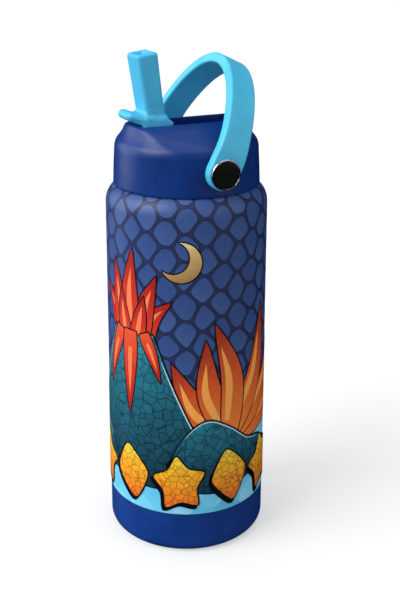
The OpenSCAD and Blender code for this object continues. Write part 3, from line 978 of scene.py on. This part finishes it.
def print_band():
    """Light blue band above the boot."""
    count = int(GIRTH / 1.2)
    points, faces, tones = [], [], []
    for i in range(count):
        u = GIRTH * i / count
        for s in (BOOT_TOP + 0.25, band_top(u)):
            for lift in (BAND_LAYER * INK_STEP, INK_SINK):
                points.append(on_wall(u, s, lift))
                tones.append(0.5)
    for i in range(count):
        a, b = 4 * i, 4 * ((i + 1) % count)
        faces += [[a, b, b + 2, a + 2], [a + 1, a + 3, b + 3, b + 1],
                  [a, a + 1, b + 1, b], [a + 2, b + 2, b + 3, a + 3]]
    make_piece("print_band", points, faces, "bottle", BAND, "printed_steel", 40, tones)


def ray(angle, length):
    return length * np.array([math.cos(angle), math.sin(angle)])


def crescent(u, s, outer, inner, offset, angle):
    """Moon shape: a circle less a smaller one whose middle lies offset away at angle."""
    a = math.acos((outer**2 + offset**2 - inner**2) / (2 * outer * offset))
    b = math.acos((outer**2 - offset**2 - inner**2) / (2 * inner * offset))
    rim = np.linspace(angle + a, angle + TURN - a, 30)
    bite = np.linspace(angle + TURN - b, angle + b, 24)[1:-1]
    outside = [(u, s) + ray(a, outer) for a in rim]
    return np.array(outside + [(u, s) + ray(angle, offset) + ray(a, inner) for a in bite])


class Artwork:
    """The printed scene: each colour is one piece, and shapes stack in layers."""

    def __init__(self):
        self.inks = {}

    def ink(self, name, material):
        return self.inks.setdefault(name, (Ink(), material))[0]

    def shape(self, name, material, outline, layer, tone=0.5, edge=0.6):
        if edge:
            self.ink("print_outlines", OUTLINE).add(grown(outline, edge), layer - 0.25, 0.4)
        self.ink(name, material).add(outline, layer, tone)

    def rim(self, points, width, layer, tone):
        """Pale line along the lit edge of a slope."""
        self.ink("print_rims", RIM).add(stroke(points, width), layer, tone)

    def pieces(self):
        for name, (ink, material) in self.inks.items():
            ink.piece(name, material)


def draw_volcano(art, u, base_s, top_s, half, layer, streams=()):
    """Broad teal cone with an open crater. Each stream of lava is (start, knee, length, width)."""
    rise = top_s - base_s

    def at(*places):
        """Points from shares of the half width and heights over the base."""
        return [(u + share * half, base_s + height) for share, height in places]

    left = spline(at((-1, 0), (-0.8, 0.24 * rise), (-0.55, 0.6 * rise), (-0.3, rise)), 8)
    right = spline(at((0.3, rise), (0.53, 0.62 * rise), (0.78, 0.26 * rise), (1, 0)), 8)
    crater = spline([left[-1], *at((-0.15, rise - 2.2), (0.135, rise - 1.8)), right[0]], 4)
    foot = spline(at((1, 0), (0.7, -10), (0.3, -14), (-0.2, -12), (-0.7, -9), (-1, 0)), 6)
    body = np.vstack([left, crater[1:-1], right, foot[1:-1]])
    tone = along_tone((u + half * 0.2, base_s - 10), (u - half * 0.1, top_s), 0.1, 0.85)
    art.shape("print_hills", HILL, body, layer, tone)
    art.rim(right[4:22] + [-0.5, 0], 0.55, layer + 0.3, 0.8)
    art.rim(left[8:22] + [0.6, 0], 0.4, layer + 0.3, 0.3)
    for k, (start, knee, length, width) in enumerate(streams):
        end = (u + 1.3 * knee, top_s - length)
        spine = [(u + start, top_s), (u + knee, top_s - 0.5 * length), end]
        draw_flame(art, spine, width, layer + 0.6 + 0.5 * k)


def draw_flame(art, spine, width, layer):
    """Red tongue with a lighter core."""
    tone = along_tone(spine[0], spine[-1], 0.62, 0.1)
    art.shape("print_flames", FLAME, tongue(spine, width), layer, tone)
    a, b, c = (np.array(p, dtype=float) for p in spine)
    core = [0.6 * a + 0.4 * b, b, 0.45 * b + 0.55 * c]
    art.shape("print_flames", FLAME, tongue(core, width * 0.3), layer + 0.2, 0.92, 0)


def draw_fan(art, u, s, reach, angles, layer, width=12.0):
    """Fan of orange leaves from one point, each with a lighter heart."""
    for k, angle in enumerate(angles):
        a = math.radians(angle)
        bend = math.radians(angle + (10 if angle < 90 else -10))
        length = reach * (0.86 + 0.14 * math.sin(a * 1.7 + 0.4))
        root = np.array([u, s], dtype=float)
        knee, tip = root + ray(a, 0.5 * length), root + ray(bend, length)
        level = layer + 0.5 * k
        art.shape("print_fan", FAN, tongue([root, knee, tip], width, 0.9), level,
                  along_tone(root, tip, 0.75, 0.0))
        side = np.array([-math.sin(a), math.cos(a)]) * width * 0.16
        heart = [root * 0.7 + knee * 0.3 + side, knee + side, knee * 0.4 + tip * 0.6 + side * 0.4]
        art.shape("print_fan", FAN, tongue(heart, width * 0.3, 0.9), level + 0.1, 0.98, 0)


def star(u, s, outer, inner, turn):
    """Five-pointed star with blunt points."""
    reach = [outer, inner] * 5
    return rounded([
        (u + r * math.sin(turn + math.pi * k / 5), s + r * 1.12 * math.cos(turn + math.pi * k / 5))
        for k, r in enumerate(reach)], 0.14)


def gem(u, s, half_u, half_s, turn):
    """Solid cut stone, pointed at its top and bottom."""
    c, d = math.cos(turn), math.sin(turn)
    corners = [(0, half_s), (half_u, 0), (0, -half_s), (-half_u, 0)]
    return rounded([(u + x * c - y * d, s + x * d + y * c) for x, y in corners], 0.14)


def draw_ornament(art, outline):
    """Golden scaled ornament with a thick dark drop shadow."""
    low, high = outline[:, 1].min(), outline[:, 1].max()
    tone = along_tone((0, low), (0, high), 0.1, 1.0)
    shadow = grown(outline + [-1.1, -1.5], 0.7)
    art.ink("print_outlines", OUTLINE).add(shadow, ORNAMENT_LAYER - 0.6, 0.3)
    art.shape("print_gold", GOLD, outline, ORNAMENT_LAYER, tone, 0.75)


def draw_art():
    """Volcanoes, flames, leaves, hills and a moon over a row of golden stars and stones."""
    art = Artwork()
    peak, crater = 15.0, 104
    flames = [
        (-11, 10, -19, 21, 9), (-8, 16, -11, 33, 10), (11, 9, 20, 18, 9), (8, 15, 13, 29, 10),
        (-1, 20, 1, 40, 11), (-5, 9, -6, 21, 8), (5, 9, 7, 19, 8),
    ]
    for k, (knee_u, knee_s, tip_u, tip_s, width) in enumerate(flames):
        spine = [(peak + 0.4 * knee_u, crater - 8), (peak + knee_u, crater + knee_s),
                 (peak + tip_u, crater + tip_s)]
        draw_flame(art, spine, width, 6 + 0.5 * k)
    moon = crescent(39, 140, 9, 7.6, 4.2, math.radians(150))
    art.shape("print_moon", STONE, moon, 5, along_tone((44, 131), (40, 148), 0.3, 0.95))
    draw_fan(art, 62, 56, 64, (12, 158, 36, 136, 60, 114, 88), 6)
    draw_fan(art, -78, 52, 44, (25, 155, 58, 122, 90), 6, 10)
    draw_volcano(art, peak, 46, crater + 2, 38, 11,
                 ((-6.5, -12, 30, 6), (7, 11.5, 22, 5.5), (-0.5, -1, 40, 8)))
    draw_volcano(art, -52, 44, 84, 26, 10)
    hills = [
        ([(33, 44), (41, 59), (51, 66), (62, 61), (72, 53), (82, 50), (90, 45)],
         [(33, 44), (40, 34), (52, 30), (66, 32), (80, 36), (90, 45)]),
        ([(-30, 40), (-22, 52), (-12, 55), (-3, 50), (4, 40)],
         [(-30, 40), (-20, 31), (-8, 29), (4, 40)]),
        ([(-112, 42), (-101, 54), (-90, 57), (-77, 49), (-66, 42)],
         [(-112, 42), (-98, 32), (-80, 31), (-66, 42)]),
    ]
    for k, (skyline, foot) in enumerate(hills):
        ridge = spline(skyline, 7)
        art.shape("print_hills", HILL, np.vstack([ridge, spline(foot, 6)[::-1]]), 12.6 + 0.1 * k,
                  along_tone((0, 32), (0, 64), 0.1, 0.75))
        cut = len(ridge) // 6
        art.rim(ridge[cut:-cut:3] + [0, -0.6], 0.5, 13.1, 0.7)
    for k in range(6):
        u, s = BODY_R * math.radians(-52.5 + 37.5 * k), 36 + (1.2, -0.8)[k % 2]
        turn = math.radians((-8, 6, 10, -6, 8, -10)[k])
        outline = star(u, s, 13.2, 7.6, turn) if k % 2 else gem(u, s, 10.5, 15, turn)
        draw_ornament(art, outline)
    for k in range(3):
        u = BODY_R * math.radians(185 + 36 * k) - GIRTH
        draw_ornament(art, star(u, 36, 9.5, 5.4, 0.1 * k))
    art.pieces()


# ---- room, light and camera

KEY_POWER = 0.92
TOP_POWER = 0.25
LEFT_POWER = 0.35
RIGHT_POWER = 0.18
WORLD_POWER = 0.38
FLOOR_GLOW = 0.47
CAMERA_TURN = math.radians(65)
CAMERA_PITCH = math.radians(14.94)
CAMERA_REACH = 0.4348
CAMERA_HEIGHT = 0.2748
CAMERA_LENS = 59.56
CAMERA_SHIFT = (0.0226, -0.17)


def build_room():
    """Pale floor and far white walls that only the camera sees, so that they light nothing."""
    floor = bpy.data.meshes.new("floor")
    size, rise = 6, 8
    ring = ((-1, -1), (1, -1), (1, 1), (-1, 1))
    corners = [(size * x, size * y, z) for z in (0, rise) for x, y in ring]
    walls = [(k, (k + 1) % 4, (k + 1) % 4 + 4, k + 4) for k in range(4)]
    floor.from_pydata(corners, [], [(0, 1, 2, 3)] + walls)
    paint = Paint("floor", 0.9, Specular_IOR_Level=0.0)
    paint.link(paint.ramp(paint.noise(300, 2), [(0.3, "b1b1b2"), (0.7, "b5b5b6")]), "Base Color")
    paint.glow(FLOOR_GLOW)
    floor.materials.append(paint.material)
    white = Paint("backdrop", 1.0, Base_Color=(0, 0, 0, 1), Specular_IOR_Level=0.0)
    white.glow(1.0)
    floor.materials.append(white.material)
    for wall in floor.polygons[1:]:
        wall.material_index = 1
    ground = placed("floor", floor)
    ground.visible_diffuse = ground.visible_glossy = ground.visible_shadow = False
    world = bpy.data.worlds.new("room")
    world.use_nodes = True
    sky = world.node_tree.nodes["Background"].inputs
    sky["Color"].default_value = (0.97, 0.985, 1.0, 1)
    sky["Strength"].default_value = WORLD_POWER
    bpy.context.scene.world = world
    world.cycles_visibility.glossy = False
    bpy.context.scene.view_settings.view_transform = "Standard"


def view_point(across, away, height):
    """A place given from the camera's side: metres to its right, away from it and up."""
    c, s = math.cos(CAMERA_TURN), math.sin(CAMERA_TURN)
    return (across * c - away * s, across * s + away * c, height)


def build_camera():
    """Camera at the photograph's view."""
    data = bpy.data.cameras.new("camera")
    data.sensor_width = 36
    data.lens = CAMERA_LENS
    data.shift_x, data.shift_y = CAMERA_SHIFT
    data.clip_start = 0.02
    camera = placed("camera", data)
    camera.location = view_point(0, -CAMERA_REACH, CAMERA_HEIGHT)
    camera.rotation_euler = (math.pi / 2 - CAMERA_PITCH, 0, CAMERA_TURN)
    bpy.context.scene.camera = camera


def sun_light(name, place, power, angle):
    """Soft sun that shines from place towards the bottle."""
    data = bpy.data.lights.new(name, "SUN")
    data.energy = power * math.pi
    data.angle = math.radians(angle)
    turn = (-Vector(place)).to_track_quat("-Z", "Y")
    placed(name, data).rotation_euler = turn.to_euler()


def build_lights():
    """Four suns, each placed from the camera's side."""
    sun_light("key", view_point(-0.78, -0.43, 0.7), KEY_POWER, 45)
    sun_light("top", view_point(0.05, 0.2, 1.0), TOP_POWER, 60)
    sun_light("left", view_point(-1.0, 0.3, 0.2), LEFT_POWER, 50)
    sun_light("right", view_point(0.8, -0.5, 0.35), RIGHT_POWER, 60)


# ---- all of it


def paint_nodes():
    """Materials of the CAD nodes that stay."""
    for material, names in (
        (STEEL, "inner_liner base_plate vacuum_seal spout_pins pivot_screws"),
        (SILICONE, "lid_gasket spout_seal straw_coupler vent_valve"),
        (PALE, "lid_insert pivot_washers loop_bushings"),
        (STRAW, "straw"),
        (BRASS, "pivot_inserts"),
    ):
        for name in names.split():
            node = frame["nodes"][name]
            if not node.material_slots:
                node.data.materials.append(material)
            for holder in node.material_slots:
                holder.material = material


build_camera()
build_room()
build_lights()
paint_nodes()
build_bottle()
build_lid()
build_spout()
build_loop()
print_background()
print_band()
draw_art()
